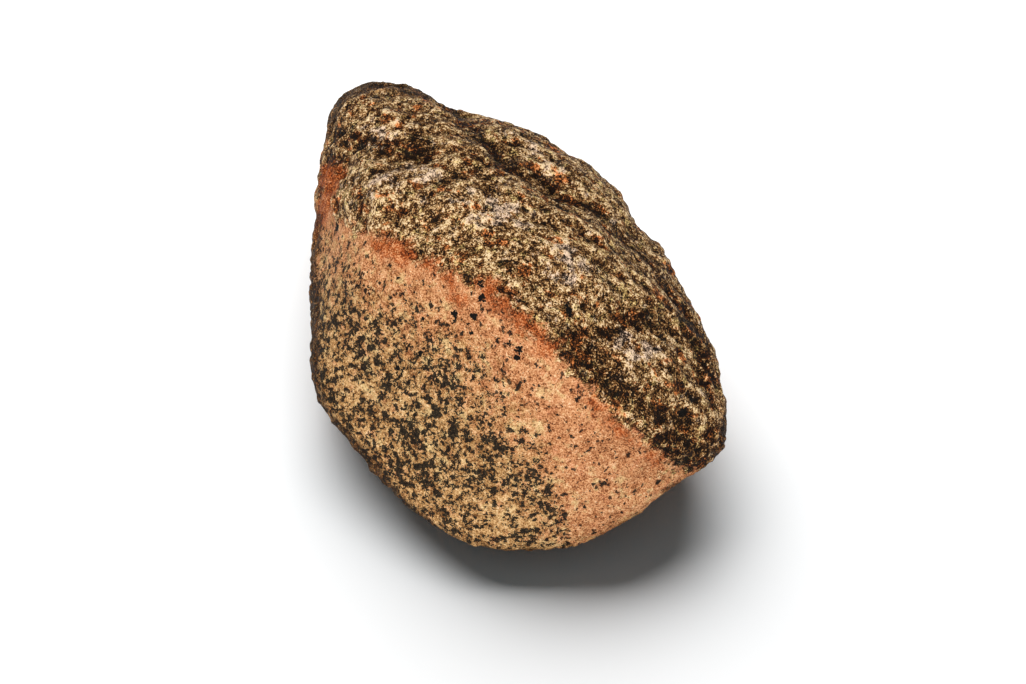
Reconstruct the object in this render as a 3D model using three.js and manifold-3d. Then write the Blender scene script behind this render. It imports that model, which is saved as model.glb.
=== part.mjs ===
// A rough lump of granite that fills a palm. Its top and back are a dark, weathered rind with
// ledges and hollows, and its front is a smoother, salmon-pink break that slopes to the ground.
// A worn crest parts the two. The stone is one piece and lies on a flat, worn base.
// Millimetres, +Z up, origin on the ground under the middle of the stone.

import * as THREE from "three";
import { ConvexHull } from "three/addons/math/ConvexHull.js";
import { ImprovedNoise } from "three/addons/math/ImprovedNoise.js";
import { mergeVertices } from "three/addons/utils/BufferGeometryUtils.js";
import Module from "manifold-3d";

// The stone is measured as it is seen from in front and above. A mark in that view has two
// distances from the aim, to the right and up, both square to the line of sight.
const LOOK_DOWN = THREE.MathUtils.degToRad(60);
const EYE_DISTANCE = 606;
const AIM = new THREE.Vector3(-0.8, -10.3, 22);

// Corners of the block, each as right, up and its height over the ground. The outer edge as
// seen runs clockwise from the left of the knob at the back.
const OUTER_EDGE = [
  [-40.2, 50, 29],
  [-36.6, 54.6, 29],
  [-31, 56.6, 30],
  [-22, 50.6, 31],
  [-4, 48.8, 33],
  [7.5, 44.6, 34],
  [20, 36.6, 32],
  [24, 32, 32],
  [30.4, 20, 30],
  [41.8, 4.3, 26],
  [44.6, -2.5, 24],
  [42, -12.5, 22],
  [47.4, -24.6, 17],
  [46, -25.2, 16],
  [30.6, -30, 12],
  [16, -42.5, 7],
  [11.5, -46.2, 7],
  [-9.8, -45.8, 8],
  [-19.8, -42.2, 9],
  [-36.9, -21, 13],
  [-44.8, -11.6, 16],
  [-43.6, 1.5, 18],
  [-42, 17.6, 20],
  [-44, 30, 24],
  [-42.9, 40, 27],
];

// The crest between the pink break and the dark rind, from its left end to its right one
const CREST = [
  [-39.5, 27.7, 34],
  [-29.4, 22.8, 45],
  [-8, 12.6, 52],
  [8, -1, 50],
  [24, -18, 36],
  [38, -27.5, 21],
];

// The brow where the level top rolls over to the steep back
const BROW = [
  [-35, 48.5, 40],
  [-26, 50.5, 42],
  [-12, 44, 46],
  [12, 32, 46],
  [28, 14.5, 41],
  [38, -4, 34],
];

// The hidden flank, low on the back and the right
const FLANK = [
  [-38, 42, 13],
  [-25, 48, 13],
  [-8, 41, 14],
  [16, 30, 13],
  [32, 12, 12],
  [40, -5, 10],
  [42, -19, 8],
];

// The foot, where the flanks turn under, and the rim of the base, which starts just below the
// ground because the base is cut flat
const FOOT = [
  [-36, 17, 3],
  [-24, 28, 3],
  [-4, 25, 3],
  [16, 14, 3],
  [31, -2, 3],
  [37, -20, 3],
  [22.5, -34, 3],
  [13, -43.5, 3],
  [-7, -43.5, 3],
  [-18.5, -38, 3],
  [-35, -19, 3],
  [-41.5, -1, 3],
];
const BASE = [
  [-30, 12, -2.5],
  [-20, 20, -2.5],
  [-4, 18, -2.5],
  [13, 8, -2.5],
  [25, -5, -2.5],
  [29, -20, -2.5],
  [19, -31.5, -2.5],
  [10, -40, -2.5],
  [-6, -40, -2.5],
  [-16, -34, -2.5],
  [-29, -18, -2.5],
  [-35, -3, -2.5],
];

// Wear and lumps. A lump has one height on the rind and a lower one on the break.
const EDGE_WEAR = 1.4;
const WEAR_ALLOWANCE = 0.6; // what the wear takes off the blunter edges
const SAME_FACE = 0.9995; // two faces count as one from this cosine of their angle on
const LUMPS = [
  { size: 30, onRind: 1.5, onBreak: 1.1 },
  { size: 13, onRind: 1.1, onBreak: 0.45 },
  { size: 8, onRind: 0.8, onBreak: 0.25 },
];

// The rind is in layers that run side by side with the crest and stand out as long ridges
const RIND_STEP = 0.6; // how far the rind stands out over the break
const RIND_FADE = 3; // how far from the crest the rind starts and is whole
const RIDGE_LENGTH = 23;
const RIDGE_SLIMNESS = 2.4; // how many times longer than wide a ridge is
const RIDGE_HEIGHT = 2;
const RIDGE_ROUNDNESS = 0.08;
const RIDGE_MIDDLE = 0.25; // where a ridge is halfway between its top and its foot
const ACROSS_LAYERS = new THREE.Vector3(0.45, 0.85, 0.3).normalize();

// Hollows, valleys and swells that show on their own, each along a path of marks in the view
const FEATURES = [
  { name: "valley under the knob", path: [[-37, 43], [-29, 41], [-19, 40]], radius: 3.8, rise: -1.5 },
  { name: "recess left of the knob", path: [[-36, 37.5], [-38, 33]], radius: 3.2, rise: -1.4 },
  { name: "long valley by the brow", path: [[-15, 50], [1, 37], [18, 27]], radius: 3.8, rise: -1.7 },
  { name: "end of the long valley", path: [[23, 22], [29, 16], [34, 10]], radius: 3.8, rise: -1.3 },
  { name: "valley to the right edge", path: [[16, -1], [27, 4]], radius: 4.2, rise: -1.2 },
  { name: "pocket over the crest", path: [[13, -4], [16, -6]], radius: 5, rise: -1.6 },
  { name: "furrow to the nose", path: [[20, -9], [35, -18]], radius: 3.6, rise: -1.1 },
  { name: "hollow at the right edge", path: [[37.5, -1], [39, -5]], radius: 4.5, rise: -1.4 },
  { name: "scoop at the end of the break", path: [[30, -29], [36, -28.5]], radius: 5, rise: -1.8 },
  { name: "scoop under the crest", path: [[-28, 19], [-20, 17]], radius: 5.5, rise: -0.9 },
  { name: "knob", path: [[-31, 49], [-27, 48]], radius: 6, rise: 0.6 },
  { name: "left swell of the top", path: [[-30, 33], [-20, 33]], radius: 7, rise: 1.1 },
  { name: "middle swell of the top", path: [[-8, 28], [2, 23]], radius: 7, rise: 1.1 },
  { name: "right swell of the top", path: [[10, 19], [16, 14]], radius: 6.5, rise: 1.1 },
  { name: "swell by the right edge", path: [[26, -2], [33, -8]], radius: 6, rise: 1 },
  { name: "bump of the brow", path: [[7, 39], [14, 35]], radius: 4.5, rise: 0.9 },
  { name: "nose", path: [[42, -20], [43, -22]], radius: 5, rise: 0.3 },
];

// Mesh
const CORE = new THREE.Vector3(-2, 6, 20); // every part of the surface is in view from here
const RAY_SPREAD = new THREE.Vector3(46, 52, 30); // the rays are spread as on a ball of this form
const RAY_REACH = 100; // longer than any way out of the stone
const DETAIL = 21; // cuts each edge of the icosahedron in 22, which makes 9680 triangles
const HALVINGS = 30;
const GROUND_BLOCK = 200; // side of the block that cuts the base flat

const STONE_COLOUR = 0x8f6a4f;

const eye = new THREE.Vector3(0, -Math.cos(LOOK_DOWN), Math.sin(LOOK_DOWN))
  .multiplyScalar(EYE_DISTANCE)
  .add(AIM);
const perlin = new ImprovedNoise();

// A mark in the view as a point of the plane through the aim
function markPoint(right, up) {
  return new THREE.Vector3(right, up * Math.sin(LOOK_DOWN), up * Math.cos(LOOK_DOWN)).add(AIM);
}

// The point of a given height on the line of sight through a mark
function corner([right, up, height]) {
  const mark = markPoint(right, up);
  return eye.clone().lerp(mark, (eye.z - height) / (eye.z - mark.z));
}

// The mark at which a point is seen
function seenAt(point) {
  const ray = new THREE.Ray(eye, point.clone().sub(eye).normalize());
  const picture = new THREE.Plane().setFromNormalAndCoplanarPoint(eye.clone().sub(AIM).normalize(), AIM);
  const mark = ray.intersectPlane(picture, new THREE.Vector3()).sub(AIM);
  return [mark.x, mark.y * Math.sin(LOOK_DOWN) + mark.z * Math.cos(LOOK_DOWN)];
}

const corners = [OUTER_EDGE, CREST, BROW, FLANK, FOOT, BASE].flat().map(corner);

// The faces that span the corners, each once, however many triangles it is made of
const faces = new ConvexHull().setFromPoints(corners).faces.filter(
  (face, index, all) => !all.slice(0, index).some((other) => other.normal.dot(face.normal) > SAME_FACE),
);

// How far a point lies outside the block, whose edges are worn round
function outside(point) {
  const gaps = faces.map((face) => face.distanceToPoint(point));
  const highest = Math.max(...gaps);
  const others = gaps.reduce((sum, gap) => sum + Math.exp((gap - highest) / EDGE_WEAR), 0);
  return highest + EDGE_WEAR * Math.log(others) - WEAR_ALLOWANCE;
}

// The place on the block where the line of sight through a mark meets it
function facing([right, up]) {
  const sight = markPoint(right, up).sub(eye).normalize();
  const point = eye.clone();
  for (let step = 0; step < HALVINGS; step += 1) point.addScaledVector(sight, outside(point));
  return point;
}

const features = FEATURES.map((feature) => ({ ...feature, points: feature.path.map(facing) }));

// The distance from a point to the nearest stretch of a path
function distanceToPath(point, path) {
  const nearest = new THREE.Vector3();
  const stretches = path.slice(1).map((end, index) => {
    new THREE.Line3(path[index], end).closestPointToPoint(point, true, nearest);
    return nearest.distanceTo(point);
  });
  return Math.min(...stretches);
}

// Smooth noise from -1 to 1 whose lumps have the given size
function noise(point, size) {
  return perlin.noise(point.x / size + size, point.y / size, point.z / size);
}

// How much of the dark rind a point has: 1 above the crest as it is seen, 0 below it
function rindShare(point) {
  const [right, up] = seenAt(point);
  const next = CREST.findIndex((mark) => mark[0] > right);
  const [from, to] = next > 0 ? CREST.slice(next - 1, next + 1) : [CREST.at(next), CREST.at(next)];
  const along = next > 0 ? (right - from[0]) / (to[0] - from[0]) : 0;
  const crestUp = THREE.MathUtils.lerp(from[1], to[1], along);
  return THREE.MathUtils.smoothstep(up - crestUp, -RIND_FADE, RIND_FADE);
}

// How far the layers of the rind stand out, sharp along the ridges and round between them
function ridges(point) {
  const squeeze = (RIDGE_SLIMNESS - 1) * point.dot(ACROSS_LAYERS);
  const place = point.clone().addScaledVector(ACROSS_LAYERS, squeeze);
  return RIDGE_HEIGHT * (RIDGE_MIDDLE - Math.hypot(noise(place, RIDGE_LENGTH), RIDGE_ROUNDNESS));
}

// How far the surface stands out from the worn block
function relief(point) {
  const rind = rindShare(point);
  let rise = rind * (RIND_STEP + ridges(point));
  for (const { size, onRind, onBreak } of LUMPS) {
    rise += THREE.MathUtils.lerp(onBreak, onRind, rind) * noise(point, size);
  }
  for (const feature of features) {
    const away = distanceToPath(point, feature.points) / feature.radius;
    rise += feature.rise * Math.exp(-(away ** 2));
  }
  return rise;
}

// The point of the stone's surface in a direction from its core
function surfacePoint(direction) {
  let [near, far] = [0, RAY_REACH];
  for (let step = 0; step < HALVINGS; step += 1) {
    const middle = (near + far) / 2;
    if (outside(CORE.clone().addScaledVector(direction, middle)) < 0) near = middle;
    else far = middle;
  }
  const onBlock = CORE.clone().addScaledVector(direction, near);
  return onBlock.addScaledVector(direction, relief(onBlock));
}

// A geometry of nothing but shared points and faces, as solids need it
function bare(geometry) {
  geometry.deleteAttribute("normal");
  geometry.deleteAttribute("uv");
  return mergeVertices(geometry);
}

// A ball drawn out to the surface of the stone
function lump() {
  const ball = bare(new THREE.IcosahedronGeometry(1, DETAIL));
  const points = ball.getAttribute("position");
  const direction = new THREE.Vector3();
  for (let index = 0; index < points.count; index += 1) {
    direction.fromBufferAttribute(points, index).multiply(RAY_SPREAD).normalize();
    points.setXYZ(index, ...surfacePoint(direction));
  }
  return ball;
}

const wasm = await Module();
wasm.setup();

// A closed geometry as a solid that can be cut
function solid(geometry) {
  return new wasm.Manifold(
    new wasm.Mesh({
      numProp: 3,
      vertProperties: new Float32Array(geometry.getAttribute("position").array),
      triVerts: new Uint32Array(geometry.index.array),
    }),
  );
}

// The lump with everything below the ground cut away
function stoneGeometry() {
  const overGround = new THREE.BoxGeometry(GROUND_BLOCK, GROUND_BLOCK, GROUND_BLOCK);
  overGround.translate(0, 0, GROUND_BLOCK / 2);
  const cut = solid(lump()).intersect(solid(bare(overGround))).getMesh();
  const geometry = new THREE.BufferGeometry();
  geometry.setAttribute("position", new THREE.BufferAttribute(cut.vertProperties, cut.numProp));
  geometry.setIndex(new THREE.BufferAttribute(cut.triVerts, 1));
  geometry.computeVertexNormals();
  return geometry;
}

const rock = new THREE.Mesh(
  stoneGeometry(),
  new THREE.MeshStandardMaterial({ color: STONE_COLOUR, roughness: 0.85, metalness: 0 }),
);
rock.name = "rock";

// The origin is under the middle of the stone
const middle = new THREE.Box3().setFromObject(rock).getCenter(new THREE.Vector3());
rock.position.set(-middle.x, -middle.y, 0);

const stone = new THREE.Group();
stone.add(rock);

export default stone;
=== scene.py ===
# A rough lump of granite: a dark, weathered rind on top and behind, a salmon-pink break in front.
# The stone's fine surface is one mesh, remade from its solid at an even, small spacing and then
# raised and pitted grain by grain. Its colours are a procedural material that follows the same
# grains, steered by fields that are kept on the mesh.
# Some of the fields paint light and shade: along the outline, in valleys and pits, and sheen on
# lumps.

import math

import bpy
import numpy as np
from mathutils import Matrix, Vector, noise
from mathutils.bvhtree import BVHTree


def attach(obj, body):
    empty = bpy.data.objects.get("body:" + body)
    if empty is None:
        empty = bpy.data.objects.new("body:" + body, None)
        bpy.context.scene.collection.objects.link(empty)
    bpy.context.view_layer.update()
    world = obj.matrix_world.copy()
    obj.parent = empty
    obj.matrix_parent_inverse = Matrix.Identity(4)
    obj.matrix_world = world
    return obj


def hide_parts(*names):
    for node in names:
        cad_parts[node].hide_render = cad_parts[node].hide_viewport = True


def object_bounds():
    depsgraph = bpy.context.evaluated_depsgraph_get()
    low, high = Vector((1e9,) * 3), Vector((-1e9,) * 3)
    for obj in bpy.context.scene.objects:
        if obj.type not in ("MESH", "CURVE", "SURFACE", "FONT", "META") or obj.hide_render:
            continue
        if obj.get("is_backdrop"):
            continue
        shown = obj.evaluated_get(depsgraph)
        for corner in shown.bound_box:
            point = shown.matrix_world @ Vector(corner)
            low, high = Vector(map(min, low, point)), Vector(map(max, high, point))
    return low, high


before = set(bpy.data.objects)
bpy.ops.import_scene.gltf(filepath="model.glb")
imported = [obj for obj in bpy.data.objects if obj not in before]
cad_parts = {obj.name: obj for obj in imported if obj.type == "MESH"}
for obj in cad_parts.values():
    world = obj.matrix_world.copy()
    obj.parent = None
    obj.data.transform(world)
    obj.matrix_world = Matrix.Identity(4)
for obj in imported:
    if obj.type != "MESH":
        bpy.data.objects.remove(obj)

CAD_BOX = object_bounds()
MM = 0.001
TINY = 1e-12

# The view. A mark on the stone has two distances from the aim in millimetres, to the right and
# up, both square to the line of sight.
LOOK_DOWN = math.radians(60)
EYE_DISTANCE = 606 * MM
AIM = Vector((-0.7, -10.3, 22)) * MM
LENS = 100
SENSOR = 36

RIGHT = Vector((1, 0, 0))
UP = Vector((0, math.sin(LOOK_DOWN), math.cos(LOOK_DOWN)))
EYE = AIM + EYE_DISTANCE * Vector((0, -math.cos(LOOK_DOWN), math.sin(LOOK_DOWN)))

# The stone's mesh
WELD_REACH = 0.001 * MM
SPACING = 0.56 * MM
SMOOTHING_ROUNDS = 7  # takes the solid's facets off
BROAD_ROUNDS = 30  # leaves only the normals' broad turns
STAND_ROUNDS = 12  # evens out single grains, to tell what stands proud
SHEET_ROUNDS = 100
SHEET_GAP = 2 * MM  # between the stone's sides on the sheet for baking

# The contact between break and rind, as seen from its left end to its right one
CREST = [
    (-39.6, 27.7),
    (-29.4, 22.8),
    (-17.7, 15.3),
    (-7.0, 11.1),
    (6.8, -0.6),
    (18.5, -12.3),
    (29.1, -24.0),
    (37.7, -28.3),
]
CONTACT_HEIGHT = 9  # on the hidden flanks the rind ends this far over the ground

# How wide the band without specks is under the contact, from left to right
BAND = [(-38, 9), (-17, 13), (-3, 20), (8, 28), (18, 44)]

# Which way the layers run, on the left and on the right
LAYER_LINES = [Vector((1, 0.1, -0.1)).normalized(), Vector((0.8, -0.5, -0.3)).normalized()]
LAYER_TURN = (-22, 3)  # the marks to the right between which one turns into the other
LAYER_WIDTH = 3.4  # the size of the noise that makes the ridges, in millimetres
LAYER_SQUEEZE = 0.72  # how far places are squeezed along the layers, to draw the ridges out

# How far a surface turns from the eye where it starts to be rough, and how much further it turns
# where it is fully so
FLANK_TURN = 0.5
FLANK_SPAN = 0.25

# Patches of the surface, each a path of marks and how far it reaches to each side. The shaded
# rim's reach is measured as seen and the others' over the stone.
# Painted shade: a dark band along the outline, where the surface turns away from the eye
SHADED_RIM = [
    ([(-42, 26), (-43, 19.6), (-43, -7)], 2.2),
    ([(-43, -7), (-41.1, -13.2), (-36.4, -19.1), (-29.1, -27.7)], 2.0),
    ([(-29.1, -27.7), (-22.3, -34.9), (-17, -39.5)], 1.2),
    ([(45.5, -11), (45.5, -14), (44.5, -26)], 1.4),
    ([(46, -25), (38, -29.5), (33, -32)], 1.9),
    ([(-41, 43), (-37, 52.5), (-28.3, 55), (-17.7, 53), (-12, 50.5)], 2.0),
]
RUST = [
    ([(-40.5, 35), (-38, 34), (-39, 30), (-41.5, 26)], 3.4),
    ([(-28, 20.5), (-23, 18.5)], 2.0),
    ([(-18.5, 17), (-17, 16)], 1.2),
    ([(-13.5, 14), (-11.5, 8)], 1.2),
    ([(-5.5, 11.5), (-1, 7)], 1.9),
    ([(-1, 7), (7, -1)], 1.8),
    ([(17, -13), (24, -20), (31, -26)], 0.8),
]
# Painted sheen: lighter, greyer patches on the rind's lumps
SHEEN_PATCHES = [
    ([(-30, 45), (-26, 45)], 3.2),
    ([(-27, 34.5), (-19, 36)], 4.0),
    ([(-9, 29), (-3, 27)], 4.0),
    ([(8, 20), (13, 16)], 3.6),
    ([(23, 0), (31, -4)], 3.2),
    ([(4, 41), (9, 37)], 2.2),
]
# Painted shade: darker patches in the rind's valleys and hollows and on a corner that turns down
SHADE_PATCHES = [
    ([(-37.5, 44), (-29, 41.5), (-19, 40)], 1.8),
    ([(-38, 40), (-37, 37)], 2.0),
    ([(-15, 50), (-8, 44), (1, 37), (12, 29.5), (18, 27)], 2.0),
    ([(18, 27), (29, 16), (37, 7)], 1.1),
    ([(15, -1), (27, 4.5), (37, 8)], 1.6),
    ([(12, 0), (17, -7)], 2.6),
    ([(20, -9), (35, -18)], 2.0),
    ([(33, -22), (38, -25), (43, -23)], 4.2),
    ([(36.5, 3.5), (40, -1), (41.5, -7)], 2.8),
]
SPOTS = [
    ([(-37.4, 24.3)], 0.9),
    ([(-7.0, 12.3)], 0.8),
    ([(-6.6, 9.4)], 0.7),
    ([(-12.5, 5.7)], 0.8),
    ([(-8.3, 5.3)], 0.8),
    ([(-3.4, 12.1)], 0.6),
    ([(-9.6, 3.6), (-8.7, 1.8)], 0.4),
    ([(-0.8, -0.6)], 0.5),
    ([(0.6, -1.7), (1.8, -1.2)], 0.5),
    ([(-0.2, -3.2), (1.2, -3.4)], 0.4),
    ([(-19.1, 4.7)], 0.5),
    ([(36.2, -14.9)], 1.0),
    ([(37.9, -12.1)], 0.6),
    ([(11.6, 8.0), (11.9, 5.6)], 0.6),
    ([(-24.6, -5.6), (-24.0, -7.0)], 0.5),
    ([(-22.6, -1.0)], 0.7),
    ([(-19.5, -2.5)], 0.7),
]

# Colours as they show, in channels of 0 to 255. A ramp runs from the darkest grains to the
# lightest ones.
PINK_RAMP = [
    (0.0, (88, 42, 18)),
    (0.2, (144, 86, 48)),
    (0.38, (190, 124, 80)),
    (0.55, (214, 150, 101)),
    (0.74, (232, 175, 128)),
    (1.0, (248, 208, 166)),
]
TAN_RAMP = [
    (0.0, (84, 48, 18)),
    (0.2, (136, 92, 50)),
    (0.38, (180, 134, 82)),
    (0.55, (208, 162, 108)),
    (0.74, (230, 187, 134)),
    (1.0, (248, 218, 174)),
]
RIND_RAMP = [
    (0.0, (20, 9, 1)),
    (0.2, (60, 32, 8)),
    (0.38, (102, 68, 32)),
    (0.54, (150, 108, 66)),
    (0.72, (196, 156, 104)),
    (0.95, (250, 217, 170)),
]
MICA_RAMP = [(0.4, (3, 3, 3)), (0.58, (18, 16, 13)), (0.78, (68, 54, 36))]
RUST_RAMP = [
    (0.1, (70, 26, 4)),
    (0.5, (160, 74, 28)),
    (0.75, (196, 106, 54)),
    (1.0, (226, 156, 106)),
]
# Stain and painted shade, for the flanks, the underside and the outline
STAIN_AND_SHADE_RAMP = [
    (0.1, (20, 9, 2)),
    (0.45, (66, 36, 12)),
    (0.7, (128, 80, 38)),
    (1.0, (206, 150, 92)),
]
BREAK_OLIVE = (190, 164, 112)
BREAK_RED = (214, 128, 88)
RIND_OLIVE = (134, 114, 64)
RIND_GREY = (152, 130, 114)
RIND_RUST = (174, 92, 34)
SPOT_BLACK = (14, 10, 7)

BUMP_DEPTH = 0.4 * MM
SHINE = 0.14

# The studio. The glow lights everything from all round, and only the camera sees the backdrop.
FLOOR_REACH = 2.0
FLOOR_COLOUR = (0.9, 0.9, 0.9, 1)
GLOW = (0.085, 0.1, 0.106, 1)
BACKDROP = (0.9, 0.9, 0.9, 1)

# A mix node has several sockets of each name, so its colour sockets go by number
MIX_FIRST = 6
MIX_SECOND = 7
MIX_RESULT = 2


def points_of(mesh):
    """The mesh's points as rows of an array, in metres."""
    flat = np.empty(len(mesh.vertices) * 3, np.float32)
    mesh.vertices.foreach_get("co", flat)
    return flat.reshape(-1, 3).astype(float)


def set_points(mesh, points):
    """Moves the mesh's points to these places."""
    mesh.vertices.foreach_set("co", points.astype(np.float32).ravel())
    mesh.update()


def normals_of(mesh):
    """The directions that the surface faces at the mesh's points."""
    flat = np.empty(len(mesh.vertices) * 3, np.float32)
    mesh.vertex_normals.foreach_get("vector", flat)
    return flat.reshape(-1, 3).astype(float)


def edges_of(mesh):
    """The mesh's edges, as rows of two point numbers."""
    flat = np.empty(len(mesh.edges) * 2, np.int32)
    mesh.edges.foreach_get("vertices", flat)
    return flat.reshape(-1, 2)


def keep(mesh, name, values):
    """Keeps a value for every point on the mesh, where the material finds it by name."""
    attribute = mesh.attributes.new(name, "FLOAT", "POINT")
    attribute.data.foreach_set("value", values.astype(np.float32))


def smoothed(values, edges, rounds):
    """Values at the mesh's points, each mixed with the mean of its neighbours."""
    counts = np.bincount(edges.ravel(), minlength=len(values)).astype(float)
    counts = counts if values.ndim == 1 else counts[:, None]
    for _ in range(rounds):
        sums = np.zeros_like(values)
        np.add.at(sums, edges[:, 0], values[edges[:, 1]])
        np.add.at(sums, edges[:, 1], values[edges[:, 0]])
        values = (values + sums / counts) / 2
    return values


def even_mesh(node):
    """The node's shape as a mesh of small, even faces."""
    holder = bpy.data.objects.new("even", node.data.copy())
    bpy.context.scene.collection.objects.link(holder)
    weld = holder.modifiers.new("weld", "WELD")
    weld.merge_threshold = WELD_REACH
    remesh = holder.modifiers.new("remesh", "REMESH")
    remesh.mode = "VOXEL"
    remesh.voxel_size = SPACING
    evaluated = holder.evaluated_get(bpy.context.evaluated_depsgraph_get())
    mesh = bpy.data.meshes.new_from_object(evaluated)
    bpy.data.objects.remove(holder)
    mesh.materials.clear()
    return mesh


def marks_of(points):
    """Where points are seen: how far to the right of the aim and above it, in millimetres."""
    away = points - np.array(EYE)
    depth = away @ np.array((AIM - EYE).normalized())
    scale = EYE_DISTANCE / depth / MM
    return (away @ np.array(RIGHT)) * scale, (away @ np.array(UP)) * scale


def distance_to(points, path):
    """From every point to a path of one place or more."""
    found = []
    for start, end in zip(path, path[1:] or path):
        span = end - start
        share = np.clip((points - start) @ span / max(span @ span, TINY), 0, 1)
        found.append(np.linalg.norm(points - start - share[:, None] * span, axis=1))
    return np.min(found, axis=0)


class Placer:
    """Finds the places on the stone that marks are seen at, and distances to them."""

    def __init__(self, mesh, points):
        corners = [vertex.co for vertex in mesh.vertices]
        self.tree = BVHTree.FromPolygons(corners, [face.vertices for face in mesh.polygons])
        self.points = points

    def place(self, mark):
        """The place that a mark is seen at, or the nearest one if it misses the stone."""
        target = AIM + (RIGHT * mark[0] + UP * mark[1]) * MM
        hit = self.tree.ray_cast(EYE, (target - EYE).normalized())[0]
        return hit or self.tree.find_nearest(target)[0]

    def field(self, patches):
        """How far inside the nearest patch every point lies, in millimetres."""
        inside = []
        for path, reach in patches:
            places = [np.array(self.place(mark)) for mark in path]
            inside.append(reach - distance_to(self.points, places) / MM)
        return np.max(inside, axis=0)


def noise_at(vectors, size, shift=0.0):
    """Smooth noise from about -1 to 1, with lumps of this size in millimetres."""
    scale = 1 / (size * MM)
    offset = Vector((shift, 2 * shift, 3 * shift))
    return np.array([noise.noise(vector * scale + offset) for vector in vectors])


def creased(vectors, size, shift=0.0):
    """Round bumps with sharp creases between them, from -0.5 to about 1."""
    return np.abs(noise_at(vectors, size, shift)) * 3 - 0.5


def layered(vectors, right):
    """Low ridges along the stone's layers, from about -1 to 0.5."""
    ridges = []
    for along in LAYER_LINES:
        squeezed = [vector - along * (vector.dot(along) * LAYER_SQUEEZE) for vector in vectors]
        ridges.append(0.5 - np.abs(noise_at(squeezed, LAYER_WIDTH, 1.0)) * 2.2)
    share = np.clip((right - LAYER_TURN[0]) / (LAYER_TURN[1] - LAYER_TURN[0]), 0, 1)
    return (1 - share) * ridges[0] + share * ridges[1]


def lay_flat(mesh, points, directions):
    """Maps the mesh to a square sheet: its six sides, seen straight on, in three rows of two."""
    corners = np.empty(len(mesh.loops), np.int32)
    mesh.loops.foreach_get("vertex_index", corners)
    sizes = np.empty(len(mesh.polygons), np.int32)
    mesh.polygons.foreach_get("loop_total", sizes)
    starts = np.cumsum(sizes) - sizes
    facing = np.add.reduceat(directions[corners], starts)
    side = np.abs(facing).argmax(axis=1)
    column = (facing[np.arange(len(side)), side] > 0).astype(int)
    side, column = np.repeat(side, sizes), np.repeat(column, sizes)

    low, high = points.min(axis=0), points.max(axis=0)
    sheet = np.zeros((len(corners), 2))
    bottom = SHEET_GAP
    for axis, (along, up) in enumerate([(1, 2), (0, 2), (0, 1)]):
        chosen = side == axis
        placed = points[corners[chosen]] - low
        shift = column[chosen] * (high[along] - low[along] + SHEET_GAP)
        sheet[chosen, 0] = placed[:, along] + shift + SHEET_GAP
        sheet[chosen, 1] = placed[:, up] + bottom
        bottom += high[up] - low[up] + SHEET_GAP
    sheet /= sheet.max() + SHEET_GAP
    layer = mesh.uv_layers.new(name="OFBake")
    layer.uv.foreach_set("vector", sheet.astype(np.float32).ravel())


def rind_depth(points, vectors, above):
    """How far inside the rind points lie. Low on the flanks the rind ends in granite."""
    over_contact = (points[:, 2] / MM - CONTACT_HEIGHT) * 1.3
    wander = 2.4 * noise_at(vectors, 9, 5.0) + 2.6 * noise_at(vectors, 3.5, 6.0)
    return np.minimum(above, over_contact) + wander


def relief(vectors, roughness, layers):
    """Heights in millimetres: a shallow skin, and knobs, pits and layers where it is rough."""
    lumps = noise_at(vectors, 6, 4.0)
    bumps = creased(vectors, 3.6, 8.0)
    grains = creased(vectors, 1.9, 3.0)
    soft = noise_at(vectors, 2.4, 7.0)
    pits = np.clip(noise_at(vectors, 2.2, 9.0) - 0.25, 0, 1)
    rough = 0.6 * lumps + 0.4 * layers + 0.2 * bumps + 0.16 * grains - 1.0 * pits
    smooth = 0.3 * lumps + 0.2 * soft + 0.06 * grains - 0.4 * pits
    return roughness * rough + (1 - roughness) * smooth


def shaded_rim_depth(right, up):
    """How far inside the band of painted shade along the outline points are seen, in millimetres.
    """
    seen = np.column_stack((right, up))
    depths = [reach - distance_to(seen, [np.array(mark) for mark in path]) for path, reach in SHADED_RIM]
    return np.max(depths, axis=0)


def build_stone():
    """The stone as one fine mesh with its grains raised, and the fields that steer its material."""
    mesh = even_mesh(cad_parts["rock"])
    edges = edges_of(mesh)
    points = smoothed(points_of(mesh), edges, SMOOTHING_ROUNDS)
    set_points(mesh, points)
    normals = normals_of(mesh)
    broad_normals = smoothed(normals, edges, BROAD_ROUNDS)
    broad_normals /= np.linalg.norm(broad_normals, axis=1)[:, None]
    vectors = [Vector(point) for point in points]
    placer = Placer(mesh, points)

    right, up = marks_of(points)
    above = up - np.interp(right, *np.array(CREST).T)
    into_rind = rind_depth(points, vectors, above)
    # How far the surface turns from the eye. The relief is rougher there, and the material paints
    # shade there
    turned = 1 - broad_normals @ np.array((EYE - AIM).normalized())
    layers = layered(vectors, right)
    roughness = np.maximum(0.5 + into_rind / 2, (turned - FLANK_TURN) / FLANK_SPAN)
    height = relief(vectors, np.clip(roughness, 0, 1), layers)
    moved = points + normals * (height * MM)[:, None]
    moved[:, 2] = np.maximum(moved[:, 2], 0)
    set_points(mesh, moved)
    mesh.shade_smooth()

    fields = {
        "into_rind": into_rind,
        "under_band": -above - np.interp(right, *np.array(BAND).T),
        "turned": turned,
        # Lighter where grains stand proud and darker in pits: partly their own colour, partly
        # painted shade
        "relief_light_and_shade": height - smoothed(height, edges, STAND_ROUNDS),
        "layers": layers,
        "shaded_rim": shaded_rim_depth(right, up),
        "rust": placer.field(RUST),
        "painted_sheen": placer.field(SHEEN_PATCHES),
        "painted_shade": placer.field(SHADE_PATCHES),
        "spot": placer.field(SPOTS),
    }
    for name, values in fields.items():
        keep(mesh, name, values)
    lay_flat(mesh, points, smoothed(broad_normals, edges, SHEET_ROUNDS))

    stone = bpy.data.objects.new("stone", mesh)
    bpy.context.scene.collection.objects.link(stone)
    return stone


def linear(*channels):
    """A colour of 0 to 255 channels, as the shaders take it."""
    shares = [channel / 255 for channel in channels]
    curved = [
        share / 12.92 if share < 0.04045 else ((share + 0.055) / 1.055) ** 2.4 for share in shares
    ]
    return (*curved, 1)


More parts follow.
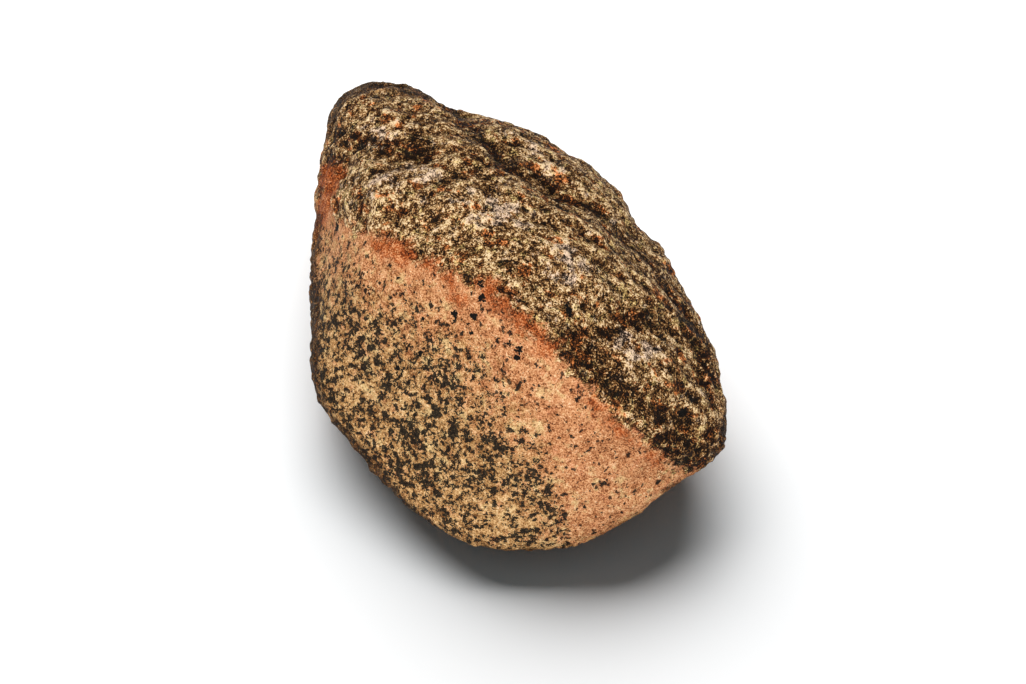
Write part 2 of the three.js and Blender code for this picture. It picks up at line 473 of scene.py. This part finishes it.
class Graph:
    """Short names for the shader nodes of one material. Its places are in millimetres."""

    def __init__(self, material):
        material.use_nodes = True
        self.tree = material.node_tree
        self.tree.nodes.clear()
        scaled = self.node("ShaderNodeVectorMath", {"operation": "SCALE"}, Scale=1 / MM)
        self.feed(scaled.inputs[0], self.node("ShaderNodeTexCoord").outputs["Object"])
        self.place = scaled.outputs[0]
        self.noises = {}

    def node(self, kind, settings=None, **inputs):
        """A new node. An input's name has underscores for its spaces."""
        made = self.tree.nodes.new(kind)
        for name, value in (settings or {}).items():
            setattr(made, name, value)
        for name, value in inputs.items():
            self.feed(made.inputs[name.replace("_", " ")], value)
        return made

    def feed(self, socket, value):
        """Links another node's socket to this one, or sets this one to a plain value."""
        if isinstance(value, bpy.types.NodeSocket):
            self.tree.links.new(value, socket)
        else:
            socket.default_value = value

    def math(self, operation, first, second=0.0, third=0.0):
        """The result of one step of arithmetic."""
        made = self.node("ShaderNodeMath", {"operation": operation})
        for socket, value in zip(made.inputs, (first, second, third)):
            self.feed(socket, value)
        return made.outputs[0]

    def plus(self, base, value, weight):
        """The base plus the value times its weight."""
        return self.math("MULTIPLY_ADD", value, weight, base)

    def weighted(self, base, **weights):
        """The base plus each named noise's distance from a half, times its weight."""
        total = self.math("SUBTRACT", base, sum(weights.values()) / 2)
        for name, weight in weights.items():
            total = self.plus(total, self.noises[name], weight)
        return total

    def blend(self, share, first, second, mode="MIX"):
        """The first colour where the share is 0, and the second where it is 1."""
        made = self.node("ShaderNodeMix", {"data_type": "RGBA", "blend_type": mode})
        self.feed(made.inputs["Factor"], share)
        self.feed(made.inputs[MIX_FIRST], first)
        self.feed(made.inputs[MIX_SECOND], second)
        return made.outputs[MIX_RESULT]

    def tinted(self, colour, share, tint):
        """The colour, as light or dark as before, with a share of the tint's hue."""
        return self.blend(share, colour, linear(*tint), "COLOR")

    def span(self, value, low, high, to_low=0.0, to_high=1.0):
        """The value moved from one range to another, with smooth ends."""
        made = self.node("ShaderNodeMapRange", {"interpolation_type": "SMOOTHSTEP"})
        names = ("Value", "From Min", "From Max", "To Min", "To Max")
        for name, number in zip(names, (value, low, high, to_low, to_high)):
            self.feed(made.inputs[name], number)
        return made.outputs[0]

    def field(self, name):
        """A value that is kept on the mesh."""
        return self.node("ShaderNodeAttribute", {"attribute_name": name}).outputs["Fac"]

    def noise(self, size, detail=2.0, roughness=0.55, shift=0.0, place=None):
        """Noise around a half, with lumps of this size in millimetres."""
        made = self.node(
            "ShaderNodeTexNoise",
            {"noise_dimensions": "4D"},
            Vector=place or self.place,
            W=shift,
            Scale=1 / size,
            Detail=detail,
            Roughness=roughness,
        )
        return made.outputs["Fac"]

    def veins(self, size, width, shift):
        """1 on thin, winding lines and 0 away from them."""
        level = self.noise(size, detail=1.0, shift=shift)
        away = self.math("ABSOLUTE", self.math("SUBTRACT", level, 0.5))
        return self.span(away, 0.0, width, 1.0, 0.0)

    def drawn_out(self, along, share):
        """Places squeezed along a direction, on which noise makes streaks."""
        reach = self.node("ShaderNodeVectorMath", {"operation": "DOT_PRODUCT"})
        self.feed(reach.inputs[0], self.place)
        self.feed(reach.inputs[1], along)
        step = self.node("ShaderNodeVectorMath", {"operation": "SCALE"}, Vector=along)
        self.feed(step.inputs["Scale"], self.math("MULTIPLY", reach.outputs["Value"], -share))
        moved = self.node("ShaderNodeVectorMath", {"operation": "ADD"})
        self.feed(moved.inputs[0], self.place)
        self.feed(moved.inputs[1], step.outputs[0])
        return moved.outputs[0]

    def warped(self, size, reach):
        """Places that wander by up to this reach, over this size."""
        drift = self.node("ShaderNodeTexNoise", Vector=self.place, Scale=1 / size, Detail=1.0)
        centred = self.node("ShaderNodeVectorMath", {"operation": "SUBTRACT"})
        self.feed(centred.inputs[0], drift.outputs["Color"])
        self.feed(centred.inputs[1], (0.5, 0.5, 0.5))
        moved = self.node("ShaderNodeVectorMath", {"operation": "MULTIPLY_ADD"})
        self.feed(moved.inputs[0], centred.outputs[0])
        self.feed(moved.inputs[1], (2 * reach, 2 * reach, 2 * reach))
        self.feed(moved.inputs[2], self.place)
        return moved.outputs[0]

    def grains(self, size, place):
        """Two random values that are the same all over each grain."""
        cells = self.node("ShaderNodeTexVoronoi", Vector=place, Scale=1 / size)
        parts = self.node("ShaderNodeSeparateColor", Color=cells.outputs["Color"])
        return parts.outputs[0], parts.outputs[1]

    def ramp(self, value, stops):
        """The value's colour on a ramp of places from 0 to 1 and their colours."""
        made = self.node("ShaderNodeValToRGB", Fac=value)
        ramp = made.color_ramp
        while len(ramp.elements) < len(stops):
            ramp.elements.new(1.0)
        for element, (place, colour) in zip(ramp.elements, stops):
            element.position = place
            element.color = linear(*colour)
        return made.outputs["Color"]


def add_noises(graph):
    """The granite's noises, from grit of a third of a millimetre to patches of seven."""
    streaks = graph.drawn_out(LAYER_LINES[1], 0.65)
    tone, kind = graph.grains(0.6, graph.warped(0.8, 0.3))
    graph.noises = {
        "grit": graph.noise(0.3, detail=0.0),
        "fine": graph.noise(0.6, detail=1.0, shift=3.0),
        "tone": tone,
        "kind": kind,
        "wisp": graph.noise(1.2, detail=2.0, roughness=0.65, shift=1.0),
        "speckle": graph.noise(1.2, detail=2.0, roughness=0.65, shift=9.0),
        "vein": graph.veins(1.5, 0.05, shift=12.0),
        "crack": graph.veins(1.7, 0.04, shift=13.0),
        "blot": graph.noise(1.9, detail=2.0, roughness=0.55, shift=10.0),
        "patch": graph.noise(1.9, detail=2.0, roughness=0.6, shift=7.0),
        "smear": graph.noise(2.2, detail=3.0, roughness=0.65, shift=8.0, place=streaks),
        "middle": graph.noise(2.6, detail=3.0, roughness=0.6, shift=2.0),
        "hue": graph.noise(3.4, detail=3.0, roughness=0.7, shift=6.0),
        "broad": graph.noise(7, detail=2.0, shift=4.0),
    }


def feldspar_colour(graph):
    """Salmon and peach near the contact, tan further down, with olive and red tints."""
    level = graph.weighted(
        0.5, grit=1.1, fine=0.7, wisp=0.6, vein=0.14, tone=0.12, middle=0.4, smear=0.7
    )
    # Grains that stand proud are lighter and pits darker: partly their own colour, partly painted
    # shade
    level = graph.plus(level, graph.field("relief_light_and_shade"), 0.5)
    pink = graph.ramp(level, PINK_RAMP)
    tan = graph.ramp(level, TAN_RAMP)
    tan_share = graph.weighted(graph.field("under_band"), hue=44, patch=34, broad=26)
    colour = graph.blend(graph.span(tan_share, -14, 16), pink, tan)
    olive = graph.span(graph.weighted(0.5, smear=1.2, patch=1.0), 0.56, 0.8, 0.0, 0.5)
    colour = graph.tinted(colour, olive, BREAK_OLIVE)
    red = graph.span(graph.weighted(0.5, hue=1.4, patch=-1.0), 0.58, 0.82, 0.0, 0.35)
    return graph.tinted(colour, red, BREAK_RED)


def break_colour(graph):
    """Granite: feldspar with black mica in a fine net, in blots and in single grains. The net and
    the blots show where their noises pass a bar, which is high under the contact."""
    # Near the outline the bar drops, so more black mica shows there: painted shade
    shaded_rim = graph.span(graph.weighted(graph.field("shaded_rim"), middle=5), -2, 2)
    bar = graph.plus(graph.span(graph.field("under_band"), -14, 8, 0.2, 0.01), shaded_rim, -0.05)
    net = graph.weighted(0.0, speckle=1.0, grit=0.35, tone=0.12, crack=0.05, broad=0.25)
    net = graph.span(graph.math("SUBTRACT", net, bar), 0.0, 0.018)
    blot = graph.weighted(0.0, blot=1.0, wisp=0.4, grit=0.2, broad=0.15)
    blot = graph.span(graph.math("SUBTRACT", blot, graph.plus(0.07, bar, 0.4)), 0.0, 0.015)
    grain = graph.span(graph.noises["kind"], 0.965, 0.97, 0.0, 0.9)
    mica = graph.math("MAXIMUM", graph.math("MAXIMUM", net, blot), grain)
    mica_colour = graph.ramp(graph.weighted(0.5, fine=1.0, grit=0.6), MICA_RAMP)
    return graph.blend(graph.math("MULTIPLY", mica, 0.97), feldspar_colour(graph), mica_colour)


def rind_colour(graph):
    """Cream, grey and tan flakes on a dark brown ground, with olive, lilac and rust tints."""
    # Proud grains lighter and pits darker: partly their own colour, partly painted shade
    relief_light_and_shade = graph.field("relief_light_and_shade")
    # Painted sheen lightens and greys the rind in patches
    painted_sheen = graph.span(graph.weighted(graph.field("painted_sheen"), middle=8), -3, 2)
    # Painted shade darkens the rind's valleys, hollows and downturned corner
    painted_shade = graph.span(graph.weighted(graph.field("painted_shade"), middle=7), -2, 2)
    level = graph.weighted(
        0.52, grit=1.5, fine=1.3, wisp=1.6, vein=0.2, tone=0.2, middle=0.8, smear=0.8, broad=0.3
    )
    rust = graph.weighted(0.0, hue=1.2, smear=1.3, patch=-0.6, kind=0.1)
    rust = graph.span(graph.plus(graph.plus(rust, painted_shade, 0.12), relief_light_and_shade, -0.25), 0.09, 0.25)
    level = graph.plus(graph.plus(level, rust, -0.18), relief_light_and_shade, 1.0)
    level = graph.plus(level, graph.field("layers"), 0.16)
    level = graph.plus(level, painted_sheen, 0.12)
    level = graph.plus(level, painted_shade, -0.34)
    colour = graph.ramp(level, RIND_RAMP)
    olive = graph.weighted(0.0, patch=1.4, kind=0.15, wisp=0.3)
    colour = graph.tinted(colour, graph.span(olive, 0.06, 0.26, 0.0, 0.6), RIND_OLIVE)
    grey = graph.weighted(0.0, hue=-1.2, patch=0.6, kind=0.15, fine=0.3)
    grey = graph.plus(grey, painted_sheen, 0.18)
    colour = graph.tinted(colour, graph.span(grey, 0.12, 0.34, 0.0, 0.75), RIND_GREY)
    return graph.tinted(colour, graph.math("MULTIPLY", rust, 0.8), RIND_RUST)


def rusted(graph, colour):
    """The colour with rust laid over it in feathered patches."""
    share = graph.weighted(graph.field("rust"), middle=9, patch=5, fine=4)
    level = graph.weighted(0.5, grit=1.4, fine=1.2, middle=1.2, smear=1.0)
    rust = graph.ramp(level, RUST_RAMP)
    return graph.blend(graph.span(share, -1.6, 1.6, 0.0, 0.9), colour, rust)


def stained_and_shaded(graph, colour):
    """The colour browner and darker on the flanks, underside and rim: partly stain, partly painted
    shade.
    """
    shaded_rim = graph.span(graph.field("shaded_rim"), -1.2, 1.2)
    flank = graph.plus(graph.field("turned"), graph.span(graph.field("into_rind"), -1, 1), -0.3)
    share = graph.math("MAXIMUM", flank, graph.math("MULTIPLY", shaded_rim, 0.9))
    share = graph.weighted(share, middle=0.8, fine=0.6, wisp=0.8, broad=0.5)
    level = graph.weighted(0.5, grit=1.4, fine=1.3, wisp=2.0, middle=2.0, broad=0.8)
    # Darker on the outline, and darker in pits than on proud grains: painted shade
    level = graph.plus(graph.plus(level, shaded_rim, -0.32), graph.field("relief_light_and_shade"), 0.6)
    stain_and_shade = graph.ramp(level, STAIN_AND_SHADE_RAMP)
    return graph.blend(graph.span(share, 0.58, 0.94, 0.0, 0.86), colour, stain_and_shade)


def stone_material():
    """Break and rind with their contact, rust, stain and painted shade, black spots, and a bump for
    the grit.
    """
    material = bpy.data.materials.new("granite")
    graph = Graph(material)
    add_noises(graph)
    into_rind = graph.field("into_rind")
    contact = graph.weighted(into_rind, middle=8, patch=5, wisp=5, tone=1.5)
    colour = graph.blend(graph.span(contact, -0.7, 0.7), break_colour(graph), rind_colour(graph))
    colour = stained_and_shaded(graph, rusted(graph, colour))
    spot = graph.weighted(graph.field("spot"), wisp=2.6, fine=1.6)
    colour = graph.blend(graph.span(spot, -0.12, 0.12), colour, linear(*SPOT_BLACK))

    bump_level = graph.weighted(0.5, grit=0.8, wisp=1.3)
    bump_level = graph.math("MULTIPLY", bump_level, graph.span(into_rind, -1, 1, 0.5, 1.0))
    bump = graph.node("ShaderNodeBump", Strength=1.0, Distance=BUMP_DEPTH, Height=bump_level)
    shader = graph.node(
        "ShaderNodeBsdfPrincipled",
        Base_Color=colour,
        Roughness=graph.span(graph.noises["fine"], 0.3, 0.7, 0.6, 0.9),
        Normal=bump.outputs[0],
    )
    shader.inputs["Specular IOR Level"].default_value = SHINE
    output = graph.node("ShaderNodeOutputMaterial")
    graph.feed(output.inputs["Surface"], shader.outputs[0])
    return material


def add_light(name, lit, direction, distance, size, power):
    """A soft oval lamp that looks at the stone from this direction and lights one object."""
    light = bpy.data.lights.new(name, "AREA")
    light.shape = "ELLIPSE"
    light.size, light.size_y = size
    light.energy = power
    lamp = bpy.data.objects.new(name, light)
    away = Vector(direction).normalized()
    lamp.location = AIM + away * distance
    lamp.rotation_euler = (-away).to_track_quat("-Z", "Y").to_euler()
    bpy.context.scene.collection.objects.link(lamp)
    receivers = bpy.data.collections.new(f"{name} lights")
    receivers.objects.link(lit)
    lamp.light_linking.receiver_collection = receivers


def add_camera():
    """The camera, at the eye of the photographed view."""
    data = bpy.data.cameras.new("camera")
    data.lens = LENS
    data.sensor_width = SENSOR
    camera = bpy.data.objects.new("camera", data)
    camera.location = EYE
    camera.rotation_euler = (AIM - EYE).to_track_quat("-Z", "Y").to_euler()
    bpy.context.scene.collection.objects.link(camera)
    bpy.context.scene.camera = camera


def add_floor():
    """A plain, pale floor under the stone."""
    signs = [(-1, -1), (1, -1), (1, 1), (-1, 1)]
    corners = [(right * FLOOR_REACH, back * FLOOR_REACH, 0) for right, back in signs]
    mesh = bpy.data.meshes.new("floor")
    mesh.from_pydata(corners, [], [(0, 1, 2, 3)])
    material = bpy.data.materials.new("floor")
    graph = Graph(material)
    shader = graph.node("ShaderNodeBsdfDiffuse", Color=FLOOR_COLOUR)
    output = graph.node("ShaderNodeOutputMaterial")
    graph.feed(output.inputs["Surface"], shader.outputs[0])
    mesh.materials.append(material)
    floor = bpy.data.objects.new("floor", mesh)
    bpy.context.scene.collection.objects.link(floor)
    floor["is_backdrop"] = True
    return floor


def add_world():
    """The faint, cool glow, which the camera sees as a bright backdrop."""
    world = bpy.data.worlds.new("studio")
    world.use_nodes = True
    tree = world.node_tree
    shown = tree.nodes.new("ShaderNodeMix")
    shown.data_type = "RGBA"
    shown.inputs[MIX_FIRST].default_value = GLOW
    shown.inputs[MIX_SECOND].default_value = BACKDROP
    path = tree.nodes.new("ShaderNodeLightPath")
    tree.links.new(path.outputs["Is Camera Ray"], shown.inputs["Factor"])
    tree.links.new(shown.outputs[MIX_RESULT], tree.nodes["Background"].inputs["Color"])
    bpy.context.scene.world = world


add_camera()
add_world()
floor = add_floor()
stone = build_stone()
stone.data.materials.append(stone_material())
add_light("sweep", floor, direction=(-0.14, 0.7, 0.8), distance=1.3, size=(1.8, 0.75), power=34)
add_light("top", stone, direction=(-0.2, 0.05, 1), distance=1.1, size=(0.6, 0.6), power=9)
add_light("front", stone, direction=(0.1, -0.8, 0.75), distance=1.2, size=(0.8, 0.8), power=9)
bpy.context.scene.view_settings.view_transform = "Standard"

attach(stone, "root")
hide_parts("rock")

boxes = {"cad": CAD_BOX, "visual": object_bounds()}
boxes = {name: [list(corner) for corner in box] for name, box in boxes.items()}
